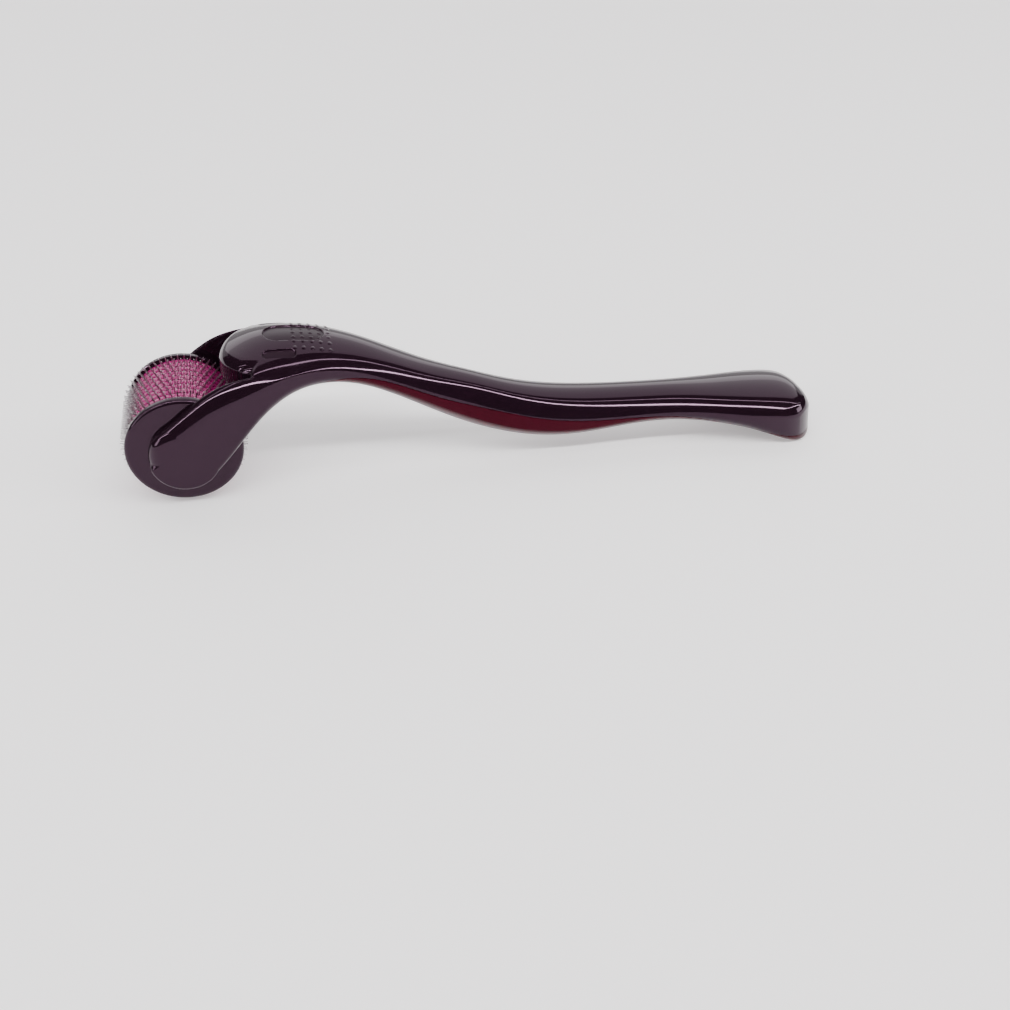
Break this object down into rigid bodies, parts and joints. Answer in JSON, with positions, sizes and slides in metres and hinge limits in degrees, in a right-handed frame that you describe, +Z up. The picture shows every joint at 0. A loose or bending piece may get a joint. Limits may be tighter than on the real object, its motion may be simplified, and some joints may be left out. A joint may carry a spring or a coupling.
{
  "type": "derma roller",
  "caption": "Hand-held skin roller: a curved two-shell handle forks around a free-turning head of stacked toothed needle discs and coloured spacer rings.",
  "frame": {"origin": "on the surface the roller lies on, under the middle of its overall box", "axes": "+X along the handle from the roller head to the tail, +Y across, along the axle, +Z up from the resting surface"},
  "size_m": [0.1372, 0.0242, 0.0285],
  "materials": {
    "upper_plastic": "gloss, injection moulded",
    "lower_plastic": "gloss, injection moulded",
    "flange_plastic": "gloss, injection moulded",
    "spacer_plastic": "satin, injection moulded",
    "core_plastic": "satin, injection moulded",
    "needle_steel": "etched sheet",
    "axle_steel": "ground"
  },
  "bodies": {
    "handle": {"handle_upper_shell": "upper_plastic", "handle_lower_shell": "lower_plastic", "axle_pin": "axle_steel"},
    "roller_head": {"roller_core": "core_plastic", "end_flange_right": "flange_plastic", "end_flange_left": "flange_plastic", "needle_disc_1": "needle_steel", "needle_disc_2": "needle_steel", "needle_disc_3": "needle_steel", "needle_disc_4": "needle_steel", "needle_disc_5": "needle_steel", "needle_disc_6": "needle_steel", "needle_disc_7": "needle_steel", "needle_disc_8": "needle_steel", "needle_disc_9": "needle_steel", "spacer_ring_1": "spacer_plastic", "spacer_ring_2": "spacer_plastic", "spacer_ring_3": "spacer_plastic", "spacer_ring_4": "spacer_plastic", "spacer_ring_5": "spacer_plastic", "spacer_ring_6": "spacer_plastic", "spacer_ring_7": "spacer_plastic", "spacer_ring_8": "spacer_plastic", "spacer_ring_9": "spacer_plastic", "spacer_ring_10": "spacer_plastic"}
  },
  "joints": [
    {"name": "roller_spin", "type": "hinge", "parent": "handle", "child": "roller_head", "pos_m": [-0.05755, 0, 0.0111], "axis": [0, 1, 0], "continuous": true}
  ]
}
